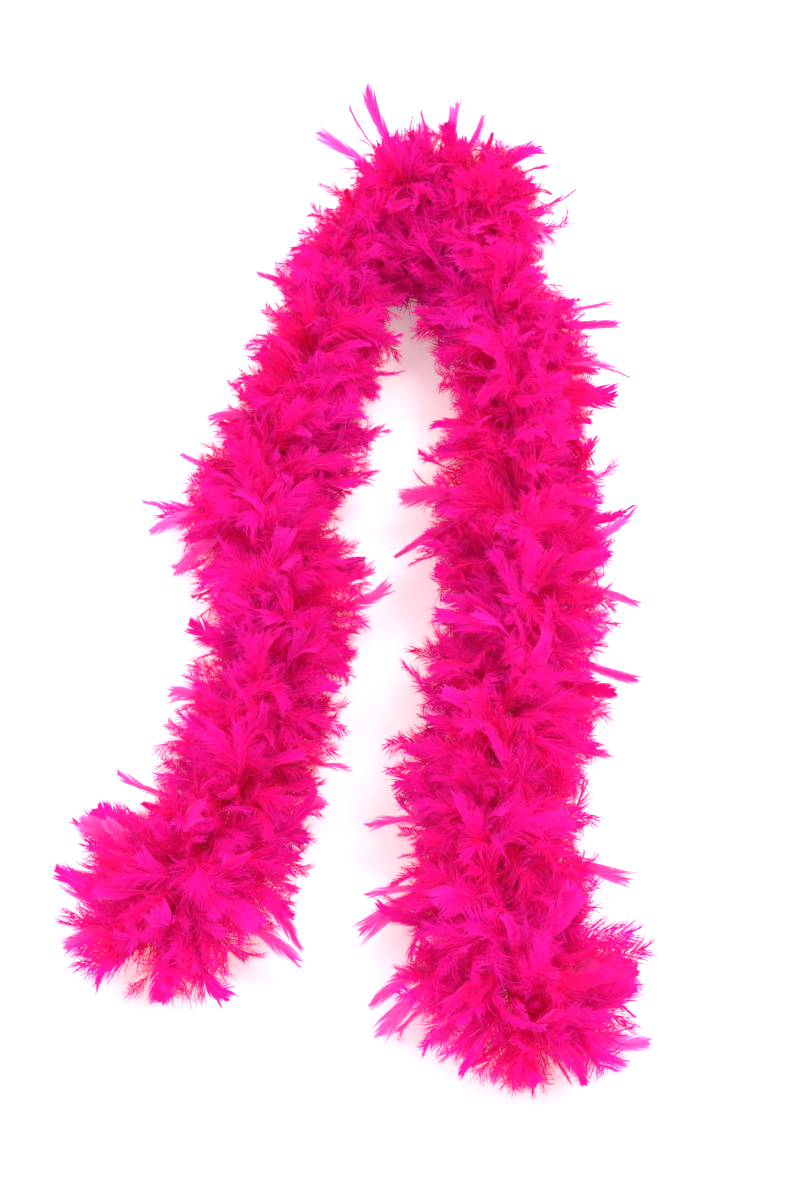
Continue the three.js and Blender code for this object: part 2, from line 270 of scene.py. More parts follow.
class Shader:
    """A material under construction, with short calls for its nodes."""

    def __init__(self, name):
        self.material = bpy.data.materials.new(name)
        self.material.use_nodes = True
        self.tree = self.material.node_tree
        self.tree.nodes.clear()

    def node(self, kind, inputs=(), **settings):
        n = self.tree.nodes.new(kind)
        for key, value in settings.items():
            setattr(n, key, value)
        for socket, value in dict(inputs).items():
            if isinstance(value, bpy.types.NodeSocket):
                self.tree.links.new(value, n.inputs[socket])
            else:
                n.inputs[socket].default_value = value
        return n

    def attribute(self, name):
        return self.node("ShaderNodeAttribute", attribute_name=name).outputs["Fac"]

    def math(self, operation, a, b=0.0):
        return self.node("ShaderNodeMath", {0: a, 1: b}, operation=operation).outputs[0]

    def weighted(self, first, *others):
        """The sum of values, each times its weight."""
        total = self.math("MULTIPLY", *first)
        for value, weight in others:
            total = self.math("ADD", total, self.math("MULTIPLY", value, weight))
        return total

    def noise(self, scale, detail=3.0):
        place = self.node("ShaderNodeTexCoord").outputs["Object"]
        inputs = {"Vector": place, "Scale": scale, "Detail": detail}
        return self.node("ShaderNodeTexNoise", inputs).outputs["Fac"]

    def ramp(self, fac, stops):
        n = self.node("ShaderNodeValToRGB", {"Fac": fac})
        ramp = n.color_ramp
        while len(ramp.elements) < len(stops):
            ramp.elements.new(0.5)
        for element, (at, colour) in zip(ramp.elements, stops):
            element.position = at
            element.color = (*colour, 1)
        return n.outputs["Color"]

    def mix(self, fac, a, b):
        n = self.node("ShaderNodeMix", data_type="RGBA")
        for socket, value in ((0, fac), (6, a), (7, b)):
            if isinstance(value, bpy.types.NodeSocket):
                self.tree.links.new(value, n.inputs[socket])
            else:
                n.inputs[socket].default_value = value
        return n.outputs[2]

    def finish(self, shader):
        self.node("ShaderNodeOutputMaterial", {"Surface": shader})
        return self.material


# How far each of these turns a feather's colour from red towards violet, and what is taken off the sum
BY_FEATHER = 0.22
BY_BARB = 0.16
BY_BLOTCH = 0.56
BY_PAINTED_SHADE = 0.42  # from the quill's foot: painted shade, redder deep in the plumage and more violet out in the light
REDDER = 0.155


def feather_material(name, stops, glow, tip, lit_tip_share, roughness, barb_bump):
    """Dyed barbs: the pink varies from feather to feather, barb to barb and in soft blotches of dye. It
    turns towards magenta from the quill's foot to the feather's tip: painted shade, deep red near the
    foot where the plumage is deep, and lighter magenta out where the light falls. It pales at the
    barbs' tips too, a painted highlight for sheen and for light shining through the thin tips."""
    s = Shader(name)
    tone, barb, outward = (s.attribute(key) for key in ("tone", "barb", "outward"))
    along, across = (s.attribute(key) for key in ("along", "across"))
    # random dye, plus painted shade through the outward term: deep red near the quill's foot, magenta
    # towards the tip
    shift = s.weighted(
        (tone, BY_FEATHER), (barb, BY_BARB), (s.noise(14.0), BY_BLOTCH), (outward, BY_PAINTED_SHADE))
    dye_and_shade = s.ramp(s.math("SUBTRACT", shift, REDDER), stops)
    # painted highlight: each barb pales towards its tip, for sheen and for light shining through it
    lit_tip_mix = s.math("MULTIPLY", s.math("POWER", along, 2.0), lit_tip_share)
    colour = s.mix(lit_tip_mix, dye_and_shade, (*tip, 1))
    rough = s.math("ADD", roughness, s.math("MULTIPLY", barb, 0.12))
    ridge = s.math("SUBTRACT", 1.0, s.math("MULTIPLY", across, across))
    bump = s.node("ShaderNodeBump", {"Strength": barb_bump, "Distance": 0.0003, "Height": ridge})
    surface = s.node("ShaderNodeBsdfPrincipled", {
        "Base Color": colour,
        "Roughness": rough,
        "IOR": 1.45,
        "Specular IOR Level": 0.10,
        "Sheen Weight": 0.08,
        "Sheen Roughness": 0.4,
        "Sheen Tint": (1.0, 0.2, 0.75, 1),
        "Normal": bump.outputs["Normal"],
    })
    through = s.node("ShaderNodeBsdfTranslucent", {"Color": colour, "Normal": bump.outputs["Normal"]})
    both = s.node("ShaderNodeMixShader", {0: glow, 1: surface.outputs[0], 2: through.outputs[0]})
    return s.finish(both.outputs[0])


# The lowest colour is darker dye and also the painted crimson of shade deep in the plumage, near the quills'
# feet. The two palest are painted light, for sheen and for light shining through thin barbs.
DEEP = (0.98, 0.002, 0.13)
HOT = (0.97, 0.003, 0.27)
BRIGHT = (0.96, 0.005, 0.48)
VIOLET = (0.90, 0.013, 0.57)
PALE = (0.99, 0.08, 0.62)
LIT_SHEER = (1.0, 0.30, 0.80)

VANE = feather_material(
    "vane", [(0.25, DEEP), (0.46, HOT), (0.68, BRIGHT), (0.88, VIOLET)],
    glow=0.46, tip=PALE, lit_tip_share=0.29, roughness=0.46, barb_bump=0.5)
DOWN = feather_material(
    "down", [(0.25, DEEP), (0.48, HOT), (0.74, BRIGHT), (0.95, VIOLET)],
    glow=0.56, tip=PALE, lit_tip_share=0.22, roughness=0.66, barb_bump=0.3)
# The strays' thin vanes are painted paler pink, up to near white at the tips, for light shining through them
# and for sheen.
THIN_VANE = feather_material(
    "thin_vane", [(0.3, BRIGHT), (0.6, PALE), (0.85, LIT_SHEER)],
    glow=0.66, tip=LIT_SHEER, lit_tip_share=0.8, roughness=0.5, barb_bump=0.4)


QUILL_DARK = (0.70, 0.006, 0.20)
QUILL_PINK = (0.92, 0.02, 0.36)
QUILL_PALE = (0.96, 0.12, 0.50)


def quill_material():
    """The horny shaft: smoother than the barbs, dye lying thin on it, with faint rings of growth."""
    s = Shader("quill")
    tone = s.attribute("tone")
    along = s.attribute("along")
    rings = s.math("SINE", s.math("MULTIPLY", along, 160.0))
    bare = s.weighted((tone, 0.6), (s.noise(90.0), 0.4))
    colour = s.ramp(bare, [(0.2, QUILL_DARK), (0.6, QUILL_PINK), (0.9, QUILL_PALE)])
    bump = s.node("ShaderNodeBump", {"Strength": 0.2, "Distance": 0.0002, "Height": rings})
    surface = s.node("ShaderNodeBsdfPrincipled", {
        "Base Color": colour,
        "Roughness": s.math("ADD", 0.30, s.math("MULTIPLY", tone, 0.15)),
        "IOR": 1.52,
        "Specular IOR Level": 0.5,
        "Normal": bump.outputs["Normal"],
    })
    return s.finish(surface.outputs[0])


QUILL = quill_material()


def yarn_material(name, dark, light, roughness, fibre):
    """Twisted yarn, with streaks of fibre that follow the twist. fibre is how close the streaks are."""
    s = Shader(name)
    along = s.attribute("along")
    across = s.attribute("across")
    streak = s.math("SINE", s.weighted((along, fibre), (across, 9.0)))
    fuzz = s.noise(900.0, 2.0)
    fac = s.math("ADD", s.math("MULTIPLY", streak, 0.22), fuzz)
    colour = s.ramp(fac, [(0.2, dark), (0.75, light)])
    bump = s.node("ShaderNodeBump", {"Strength": 0.6, "Distance": 0.0003, "Height": fac})
    surface = s.node("ShaderNodeBsdfPrincipled", {
        "Base Color": colour,
        "Roughness": s.math("ADD", roughness, s.math("MULTIPLY", fuzz, 0.15)),
        "Sheen Weight": 0.35,
        "Sheen Roughness": 0.5,
        "Sheen Tint": (1.0, 0.6, 0.8, 1),
        "Normal": bump.outputs["Normal"],
    })
    return s.finish(surface.outputs[0])


CORD_YARN = yarn_material(
    "cord_yarn", dark=(0.45, 0.004, 0.13), light=(0.72, 0.010, 0.26), roughness=0.78, fibre=5200.0)
THREAD = yarn_material(
    "binding_thread", dark=(0.34, 0.003, 0.10), light=(0.60, 0.008, 0.22), roughness=0.5, fibre=9000.0)

# ---------------------------------------------------------------- meshes


def mesh_object(name, points, quads, attributes, materials, slots=None):
    """A shown object from quads. attributes are named values for each point, and slots is each quad's
    material."""
    mesh = bpy.data.meshes.new(name)
    mesh.vertices.add(len(points))
    mesh.vertices.foreach_set("co", points.astype(np.float32).ravel())
    mesh.loops.add(quads.size)
    mesh.loops.foreach_set("vertex_index", quads.astype(np.int32).ravel())
    mesh.polygons.add(len(quads))
    mesh.polygons.foreach_set("loop_start", np.arange(0, quads.size, 4, dtype=np.int32))
    for material in materials:
        mesh.materials.append(material)
    if slots is not None:
        mesh.polygons.foreach_set("material_index", slots.astype(np.int32))
    mesh.update(calc_edges=True)
    mesh.shade_smooth()
    for key, values in attributes.items():
        layer = mesh.attributes.new(key, "FLOAT", "POINT")
        layer.data.foreach_set("value", values.astype(np.float32))
    obj = bpy.data.objects.new(name, mesh)
    bpy.context.scene.collection.objects.link(obj)
    return obj


def tube(points, radii, sides, spin=None):
    """A round tube on a polyline, with closed ends: its points, its quads and, for each point, the sine
    of its angle round the tube. spin turns each ring."""
    points = np.asarray(points, float)
    n = len(points)
    tangent = unit(np.gradient(points, axis=0))
    side = unit(np.cross(tangent, UP + 1e-3))
    over = np.cross(side, tangent)
    angle = np.linspace(0, 2 * math.pi, sides, endpoint=False)[None, :]
    if spin is not None:
        angle = angle + spin[:, None]
    ring = np.cos(angle)[..., None] * side[:, None] + np.sin(angle)[..., None] * over[:, None]
    shell = points[:, None] + ring * np.broadcast_to(radii, n)[:, None, None]
    k = np.arange(n - 1)[:, None] * sides
    j = np.arange(sides)[None, :]
    turn = (j + 1) % sides
    quads = np.stack([k + j, k + turn, k + sides + turn, k + sides + j], -1).reshape(-1, 4)
    caps = []
    for ring_start, flip in ((0, True), ((n - 1) * sides, False)):
        for a in range(1, sides // 2):
            quad = [ring_start + i for i in (0, a * 2 - 1, a * 2, min(a * 2 + 1, sides - 1))]
            caps.append(quad[::-1] if flip else quad)
    return shell.reshape(-1, 3), np.vstack([quads, caps]), np.tile(np.sin(angle[0]), n)


# ---------------------------------------------------------------- feather patterns

# Each pattern is flat: a along the shaft, b across it and lift out of its plane, in feather lengths


class Pattern:
    def __init__(self):
        self.points = []
        self.attributes = []
        self.quads = []
        self.slots = []
        self.count = 0

    def ribbons(self, paths, widths, roll, slot, barb):
        """A ribbon on each path. paths is (ribbon, station, 3), widths is (ribbon, station), and roll
        tips each ribbon about its own line, as a louvre is tipped."""
        n, k, _ = paths.shape
        ahead = np.gradient(paths, axis=1)
        flat = unit(np.stack([-ahead[..., 1], ahead[..., 0], np.zeros((n, k))], -1))
        edge = flat * np.cos(roll)[:, None, None]
        edge[..., 2] += np.sin(roll)[:, None]
        half = edge * widths[..., None] / 2
        points = np.stack([paths - half, paths + half], 2)
        along = np.broadcast_to(np.linspace(0, 1, k)[None, :, None], (n, k, 2))
        across = np.broadcast_to(np.array([-1.0, 1.0]), (n, k, 2))
        shade = np.broadcast_to(barb[:, None, None], (n, k, 2))
        start = self.count + np.arange(n)[:, None] * 2 * k + np.arange(k - 1)[None, :] * 2
        quads = np.stack([start, start + 1, start + 3, start + 2], -1).reshape(-1, 4)
        values = np.stack([along, across, shade], -1)
        self._add(points.reshape(-1, 3), values.reshape(-1, 3), quads, slot)

    def shaft(self, stations, radii, slot, sides=3):
        k = len(stations)
        angle = np.arange(sides) * 2 * math.pi / sides + math.pi / 2
        ring = np.stack([np.zeros(sides), np.cos(angle), np.sin(angle)], -1)
        centre = np.stack([stations, np.zeros(k), np.zeros(k)], -1)
        points = centre[:, None] + ring * radii[:, None, None]
        along = np.broadcast_to(np.linspace(0, 1, k)[:, None], (k, sides))
        extra = np.stack([along, np.zeros((k, sides)), np.full((k, sides), 0.5)], -1)
        i = self.count + np.arange(k - 1)[:, None] * sides
        j = np.arange(sides)[None, :]
        turn = (j + 1) % sides
        quads = np.stack([i + j, i + sides + j, i + sides + turn, i + turn], -1).reshape(-1, 4)
        self._add(points.reshape(-1, 3), extra.reshape(-1, 3), quads, slot)

    def _add(self, points, attributes, quads, slot):
        self.points.append(points)
        self.attributes.append(attributes)
        self.quads.append(quads)
        self.slots.append(np.full(len(quads), slot))
        self.count += len(points)

    def done(self):
        self.points = np.vstack(self.points)
        self.attributes = np.vstack(self.attributes)
        self.quads = np.vstack(self.quads)
        self.slots = np.concatenate(self.slots)
        return self


VANE_SLOT, DOWN_SLOT, QUILL_SLOT, THIN_SLOT = range(4)
TYPICAL_LENGTH = 0.085
VANE_START = 0.42  # of a flat's length, where the closed vane starts
VANE_END = 0.985
VANE_BARBS = 54  # on each side of the shaft
WIDTHS = (0.11, 0.135, 0.16, 0.185)  # of one side of a flat's vane
MIDDLE_WIDTH = 0.295  # of a whole vane, both sides of the shaft


def clumped(count, mean, spread, r):
    """One value for each barb, the same for the barbs of one clump, which cling together."""
    values = np.empty(count)
    at = 0
    while at < count:
        size = int(r.integers(3, 3 + 2 * mean))
        values[at:at + size] = r.normal(0, spread)
        at += size
    return values


def flat_feather(width, blunt, r):
    """A body feather, called a flat: downy near the root, then a closed vane that is cut off square or
    narrows to a point, split here and there where the barbs have parted."""
    p = Pattern()
    stations = np.linspace(0.0, 1.0, 11)
    p.shaft(stations, (0.70 - 0.52 * stations) * 0.001 / TYPICAL_LENGTH, QUILL_SLOT)
    count = VANE_BARBS
    for side in (-1, 1):
        u = np.linspace(VANE_START, VANE_END, count)
        share = (u - VANE_START) / (VANE_END - VANE_START)
        outline = width * np.sin(np.clip(share * 2.3 + 0.7, 0, math.pi / 2)) * r.uniform(0.85, 1.15)
        if not blunt:
            outline = outline * np.clip(1.1 - 0.95 * share**1.6, 0.1, 1)
        angle = np.radians(48 - 25 * share**1.4) + clumped(count, 5, 0.075, r)
        angle = angle + r.normal(0, 0.015, count)
        end = 1.03 + clumped(count, 4, 0.016, r) - (0.03 if blunt else 0.0) * share
        length = np.minimum(outline / np.sin(angle), np.maximum(end - u, 0.02) / np.cos(angle * 0.8))
        length = length * (1 + clumped(count, 4, 0.07, r)) * r.uniform(0.88, 1.05, count)
        v = np.linspace(0, 1, 4)[None, :]
        sweep = angle[:, None] * (1 - 0.34 * v)
        a = u[:, None] + length[:, None] * v * np.cos(sweep)
        b = side * length[:, None] * v * np.sin(sweep)
        lift = (clumped(count, 5, 0.024, r)[:, None] + r.normal(0, 0.004, (count, 1))) * v**1.5
        spacing = (VANE_END - VANE_START) / (count - 1)
        widths = spacing * np.array([1.35, 1.25, 0.8, 0.12])[None, :] * r.uniform(0.85, 1.15, (count, 1))
        roll = r.normal(0.20, 0.14, count) * side
        p.ribbons(np.stack([a, b, lift], -1), widths, roll, VANE_SLOT, r.random(count))
    loose_barbs(p, start=0.06, end=VANE_START + 0.10, count=38, reach=0.20, sweep=(60, 54), scatter=0.13,
                thick=0.00055, r=r)
    return p.done()


def semiplume(reach, r):
    """Halfway between a flat and down: the barbs lie side by side in a soft fan but don't lock."""
    p = Pattern()
    stations = np.linspace(0.0, 1.0, 9)
    p.shaft(stations, (0.60 - 0.46 * stations) * 0.001 / TYPICAL_LENGTH, QUILL_SLOT)
    loose_barbs(p, start=0.08, end=0.985, count=76, reach=reach, sweep=(56, 30), scatter=0.075,
                thick=0.00062, r=r)
    return p.done()


def down(r):
    """A down feather: a thin soft shaft with loose barbs all the way."""
    p = Pattern()
    stations = np.linspace(0.0, 1.0, 8)
    p.shaft(stations, (0.50 - 0.40 * stations) * 0.001 / TYPICAL_LENGTH, QUILL_SLOT)
    loose_barbs(p, start=0.08, end=0.99, count=76, reach=0.34, sweep=(64, 50), scatter=0.17,
                thick=0.00080, r=r)
    return p.done()


def loose_barbs(p, start, end, count, reach, sweep, scatter, thick, r):
    """Downy barbs on both sides of the shaft, long and wavy. sweep is their angle to the shaft, in
    degrees, at the start and at the end, scatter is how far they leave the feather's own plane, and
    thick is how wide a barb is at its foot."""
    for side in (-1, 1):
        share = np.linspace(0, 1, count)
        u = start + (end - start) * share + r.normal(0, 0.003, count)
        angle = np.radians(sweep[0] + (sweep[1] - sweep[0]) * share)
        angle = angle + clumped(count, 4, 0.5 * scatter + 0.04, r) + r.normal(0, 0.3 * scatter, count)
        taper = np.clip(1.25 - 0.75 * share**2, 0, 1) * np.clip(0.6 + 3 * share, 0, 1)
        length = reach * taper * (1 + clumped(count, 3, 0.10, r)) * r.uniform(0.82, 1.08, count)
        v = np.linspace(0, 1, 4)[None, :]
        curl = (clumped(count, 5, 1.2 * scatter + 0.08, r) - 0.2 + r.normal(0, scatter, count))[:, None]
        wave = 0.5 * scatter * np.sin(v * 6 + r.uniform(0, 1.5, (count, 1)))
        bearing = angle[:, None] + curl * v + wave
        a = u[:, None] + length[:, None] * v * np.cos(bearing)
        b = side * length[:, None] * v * np.sin(bearing)
        out = (clumped(count, 5, 1.6 * scatter + 0.05, r) + r.normal(0, scatter, count))[:, None]
        lift = length[:, None] * (out * v + r.normal(0, scatter, (count, 1)) * v**2)
        widths = np.array([1.0, 0.96, 0.74, 0.14])[None, :] * thick / TYPICAL_LENGTH
        widths = widths * r.uniform(0.8, 1.25, (count, 1))
        roll = r.uniform(-0.6, 0.6, count)
        p.ribbons(np.stack([a, b, lift], -1), widths, roll, DOWN_SLOT, r.random(count))


pattern_rng = np.random.default_rng(SEED + 1)
FLATS = [
    flat_feather(width, blunt, pattern_rng) for width in WIDTHS for blunt in (True, True, False)]
SEMIPLUMES = [
    semiplume(reach, pattern_rng) for reach in (0.20, 0.24, 0.28, 0.33) for _ in range(2)]
DOWNS = [down(pattern_rng) for _ in range(6)]

# ---------------------------------------------------------------- placing feathers

STATIONS = 18


def turned(vector, axis, angle):
    """Each vector turned about its own unit axis."""
    c, s = np.cos(angle)[:, None], np.sin(angle)[:, None]
    dot = np.sum(vector * axis, -1, keepdims=True)
    return vector * c + np.cross(axis, vector) * s + axis * dot * (1 - c)


class Feathers:
    """A set of feathers: roots, directions, lengths and curves, one row for each feather."""

    def __init__(self, root, ahead, towards, length, bend, sway, twist, cup):
        self.root = root
        self.ahead = unit(ahead)
        self.normal = unit(towards - self.ahead * np.sum(towards * self.ahead, -1, keepdims=True))
        self.length = length
        self.bend = bend
        self.sway = sway
        self.twist = twist
        self.cup = cup

    def only(self, rows):
        keys = ("root", "ahead", "normal", "length", "bend", "sway", "twist", "cup")
        return Feathers(*(getattr(self, key)[rows] for key in keys))

    def frames(self):
        """The shaft's points and, at each, the directions along it, across the vane and out of it."""
        t, n = self.ahead.copy(), self.normal.copy()
        at = self.root.copy()
        where, along, out = [at], [t], [n]
        step = self.length / (STATIONS - 1)
        for k in range(STATIONS - 1):
            share = (k + 0.5) / (STATIONS - 1)
            weight = (0.35 + 1.3 * share) / (STATIONS - 1)
            across = np.cross(n, t)
            t = turned(t, across, -self.bend * weight)
            n = turned(n, across, -self.bend * weight)
            t = turned(t, n, self.sway * weight)
            n = turned(n, unit(t), self.twist * weight)
            t = unit(t)
            n = unit(n - t * np.sum(n * t, -1, keepdims=True))
            at = at + t * step[:, None]
            where.append(at)
            along.append(t)
            out.append(n)
        where, along, out = (np.stack(x, 1) for x in (where, along, out))
        return where, along, np.cross(along, out), out


def grow(feathers, pattern, widen):
    """The pattern's points bent onto each feather's own frames."""
    where, along, across, out = feathers.frames()
    a, b, lift = pattern.points.T
    station = np.clip(a, 0, 1) * (STATIONS - 1)
    low = np.minimum(station.astype(int), STATIONS - 2)
    f = (station - low)[None, :, None]
    past = (a - np.clip(a, 0, 1))[None, :, None]
    length = feathers.length[:, None, None]

    def at(x):
        return x[:, low] * (1 - f) + x[:, low + 1] * f

    b = b[None, :, None] * widen[:, None, None]
    lift = lift[None, :, None] + feathers.cup[:, None, None] * b**2
    return at(where) + length * (at(along) * past + at(across) * b + at(out) * lift)


def on_floor(points):
    """Feathers flatten softly onto the floor instead of passing through it."""
    z = points[..., 2]
    points[..., 2] = FLOOR_GAP + 0.5 * (z + np.sqrt(z * z + FLOOR_SOFTNESS**2))
    return points


def plumage(name, batches, r):
    """One object from batches of (feathers, patterns, widths, the slot of the vanes' material)."""
    points, quads, slots = [], [], []
    values = {key: [] for key in ("along", "across", "barb", "tone", "outward")}
    count = 0
    for feathers, patterns, widen, vane_slot in batches:
        choice = r.integers(0, len(patterns), len(feathers.length))
        shade = r.random(len(feathers.length))
        for k, pattern in enumerate(patterns):
            pick = np.flatnonzero(choice == k)
            if not len(pick):
                continue
            n = len(pattern.points)
            points.append(grow(feathers.only(pick), pattern, widen[pick]).reshape(-1, 3))
            offset = count + np.arange(len(pick))[:, None, None] * n
            quads.append((pattern.quads[None] + offset).reshape(-1, 4))
            pattern_slots = np.where(pattern.slots == VANE_SLOT, vane_slot, pattern.slots)
            slots.append(np.tile(pattern_slots, len(pick)))
            for key, column in zip(("along", "across", "barb"), pattern.attributes.T):
                values[key].append(np.tile(column, len(pick)))
            values["tone"].append(np.repeat(shade[pick], n))
            values["outward"].append(np.tile(np.clip(pattern.points[:, 0], 0, 1), len(pick)))
            count += n * len(pick)
    attributes = {key: np.concatenate(parts) for key, parts in values.items()}
    return mesh_object(name, on_floor(np.vstack(points)), np.vstack(quads), attributes,
                       [VANE, DOWN, QUILL, THIN_VANE], np.concatenate(slots))


def around(arc, angle, lean):
    """Where a quill starts and which way it points: angle is round the cord from its left over its top,
    and lean is along the cord."""
    tangent = cord_tangent(arc)
    out = left_of(tangent) * np.cos(angle)[:, None] + UP * np.sin(angle)[:, None]
    ahead = out * np.cos(lean)[:, None] + tangent * np.sin(lean)[:, None]
    return cord_point(arc) + out * ROOT_RADIUS, ahead


def swirl(arc, angle, phase):
    """A bearing that changes smoothly over the plumage, so that neighbouring feathers lie the same way.
    It's three waves of different lengths."""
    return (1.9 * np.sin(46 * arc + 1.3 * angle + phase)
            + 1.3 * np.sin(97 * arc - 2.1 * angle + 2 * phase)
            + 0.8 * np.sin(163 * arc + 3.3 * angle + 3 * phase))


def scattered(start, end, count, share, r, lowest, limp):
    """Feathers spread evenly round one tuft's stretch of the cord. share is how far out they come, as a
    share of the plumage's reach, lowest is the lowest angle round the cord that they start at, and limp
    is how far they curl over, in radians."""
    arc = start + (end - start) * (np.arange(count) + r.random(count)) / count
    turn = (np.arange(count) * GOLDEN_SHARE + r.random()) % 1.0
    turn = (turn + r.normal(0, 0.04, count)) % 1.0
    angle = lowest + (math.pi - 2 * lowest) * turn
    lean = 0.34 * np.sin(swirl(arc, angle, 1.0)) + r.normal(0, 0.34, count)

    # At the free ends they fan out past the cord's tip
    from_end = np.minimum(arc, ARC[-1] - arc)
    outwards = np.where(arc < ARC[-1] / 2, -1, 1)
    nearness = np.clip(1 - from_end / SPLAYED, 0, 1)
    lean = np.where(from_end < SPLAYED, outwards * (SPLAY * nearness + 0.3 * np.abs(lean)), lean)
    root, ahead = around(arc, angle, lean)

    # The vane faces a way that the swirl chooses, but feathers at the sides droop, broad face up
    tangent = cord_tangent(arc)
    round_it = UP * np.cos(angle)[:, None] - left_of(tangent) * np.sin(angle)[:, None]
    bearing = swirl(arc, angle, 2.5)
    sideways = np.abs(np.cos(angle))
    lay = tangent * np.cos(bearing)[:, None] + round_it * np.sin(bearing)[:, None]
    fall = UP * np.where(np.sin(angle) > 0.1, -1.0, 0.8)[:, None]
    towards = lay * (1 - 0.6 * sideways)[:, None] + fall * sideways[:, None]
    towards = towards + r.normal(0, 0.40, (count, 3))
    bend = limp * (1 - 0.4 * sideways) * np.clip(r.normal(1.0, 0.3, count), 0.4, 1.35)

    # The reach is read from FULLNESS on each side, and is less over the top and at the free ends
    left, right = (np.interp(arc, FULLNESS[:, 0], FULLNESS[:, k]) for k in (1, 2))
    toward_left = 0.5 + 0.5 * np.clip(1.6 * np.cos(angle), -1, 1)
    reach = left * toward_left + right * (1 - toward_left)
    reach = reach + (np.minimum(TOP_REACH, reach) - reach) * np.clip(np.sin(angle), 0, 1)
    reach = reach * (1 - SHORT_ENDS * nearness)
    length = reach * share * r.uniform(0.72, 1.08, count) * (1 + CURL_TAKES * bend**2)
    return Feathers(
        root, ahead, towards, length,
        bend=bend,
        sway=r.normal(0, 0.28, count),
        twist=r.normal(0, 0.45, count),
        cup=r.uniform(0.2, 1.4, count),
    )


TUFTS = []
start = 0.0
for body, end, count in LINKS:
    edges = np.linspace(start, end, count + 1)
    TUFTS += [(f"feather_tuft_{body}_{'abc'[k]}", body, edges[k], edges[k + 1]) for k in range(count)]
    start = end


def stray_root(stray, margin=0.004):
    """The arc length of a stray's root, a margin or more from the cord's ends."""
    tip, _, lag = stray
    return min(max(nearest_arc(tip) + lag, margin), ARC[-1] - margin)


def strays(rows, r):
    """Straighter feathers from the cord to the given tips."""
    tips = np.array([tip for tip, _, _ in rows])
    root = cord_point([stray_root(row) for row in rows])
    chord = tips - root
    reach = np.linalg.norm(chord, axis=1)
    bend = r.uniform(0.6, 1.4, len(rows)) * r.choice([-1, 1], len(rows))
    towards = unit(np.cross(chord, r.normal(0, 1, (len(rows), 3))) + UP * 0.4)
    out = unit(towards - chord * np.sum(towards * chord, -1, keepdims=True) / reach[:, None]**2)
    ahead = unit(chord) * np.cos(bend * 0.42)[:, None] - out * np.sin(bend * 0.42)[:, None]
    length = reach * (1 + bend**2 / 20)
    return Feathers(root, ahead, out, length, bend=bend, sway=r.normal(0, 0.12, len(rows)),
                    twist=r.normal(0, 0.3, len(rows)), cup=r.uniform(0.5, 1.6, len(rows)))


def attach(piece, body, middle_arc):
    """Rides on the body, or bends across the joint when the piece is beside one."""
    k = BODIES.index(body)
    near = [j for j in (k - 1, k)
            if 0 <= j < len(JOINTS_AT) and abs(JOINTS_AT[j] - middle_arc) < BESIDE_JOINT]
    if near:
        ends = bend_zone(JOINTS_AT[near[0]])
        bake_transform(piece, BODIES[near[0]], BODIES[near[0] + 1], start=ends[0], end=ends[1])
    else:
        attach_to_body(piece, body)


# ---------------------------------------------------------------- the core cord


def core_cords():
    """The three-ply cord, one piece across each joint, from the middle of one link to the middle of the
    next, so that no gap opens where it bends."""
    ends = [0.0]
    start_arc = 0.0
    for k, (_, end, _) in enumerate(LINKS):
        if 0 < k < len(LINKS) - 1:
            ends.append((start_arc + end) / 2)
        start_arc = end
    ends.append(LINKS[-1][1])
    for k, (a, b) in enumerate(zip(ends, ends[1:])):
        arcs = np.linspace(a, b, int((b - a) / CORD_STEP))
        centre = cord_point(arcs)
        tangent = cord_tangent(arcs)
        side = left_of(tangent)
        points, quads, along, across = [], [], [], []
        count = 0
        for ply in range(PLY_COUNT):
            phase = 2 * math.pi * (arcs / PLY_PITCH + ply / PLY_COUNT)
            out = side * np.cos(phase)[:, None] + UP * np.sin(phase)[:, None]
            line = centre + out * (CORD_DIAMETER / 2 - PLY_RADIUS)
            p, q, around_it = tube(line, PLY_RADIUS, PLY_SIDES, spin=phase)
            points.append(p)
            quads.append(q + count)
            along.append(np.repeat(arcs, PLY_SIDES))
            across.append(around_it)
            count += len(p)
        attributes = {"along": np.concatenate(along), "across": np.concatenate(across)}
        piece = mesh_object(f"core_cord_{k + 1:02d}", np.vstack(points), np.vstack(quads), attributes,
                            [CORD_YARN])
        bend = bend_zone(JOINTS_AT[k])
        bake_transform(piece, BODIES[k], BODIES[k + 1], start=bend[0], end=bend[1])
        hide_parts(f"core_cord_{BODIES[k]}")
        if k == len(JOINTS_AT) - 1:
            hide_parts(f"core_cord_{BODIES[-1]}")


def wound_thread(name, centre_arc, length, radius, turns, body, node):
    """Thread wound round the cord and the quills, in close turns that cross back over themselves: the
    winding runs forth, back and forth again along its length."""
    share = np.linspace(0, 1, turns * THREAD_STATIONS)
    there = centre_arc - length / 2 + length * (0.5 - 0.5 * np.cos(share * 2 * math.pi * 1.5))
    arcs = np.clip(there, THREAD_RADIUS, ARC[-1] - THREAD_RADIUS)
    phase = share * turns * 2 * math.pi
    swell = radius * (1 + 0.05 * np.sin(share * 23))
    side = left_of(cord_tangent(arcs))
    out = side * np.cos(phase)[:, None] + UP * np.sin(phase)[:, None]
    line = cord_point(arcs) + out * (swell - THREAD_RADIUS)[:, None]
    points, quads, across = tube(line, THREAD_RADIUS, THREAD_SIDES)
    attributes = {"along": np.repeat(share * turns * 0.02, THREAD_SIDES), "across": across}
    piece = mesh_object(name, points, quads, attributes, [THREAD])
    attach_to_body(piece, body)
    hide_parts(node)


core_cords()
for body in BODIES:
    node = f"thread_binding_{body}"
    wound_thread(f"bound_thread_{body}", node_middle_arc(node), length=0.009, radius=0.0050, turns=22,
                 body=body, node=node)
for side, body in (("left", "left_6"), ("right", "right_6")):
    node = f"end_whipping_{side}"
    wound_thread(f"whipped_end_{side}", node_middle_arc(node), length=0.010, radius=0.0044, turns=26,
                 body=body, node=node)

# ---------------------------------------------------------------- the plumage

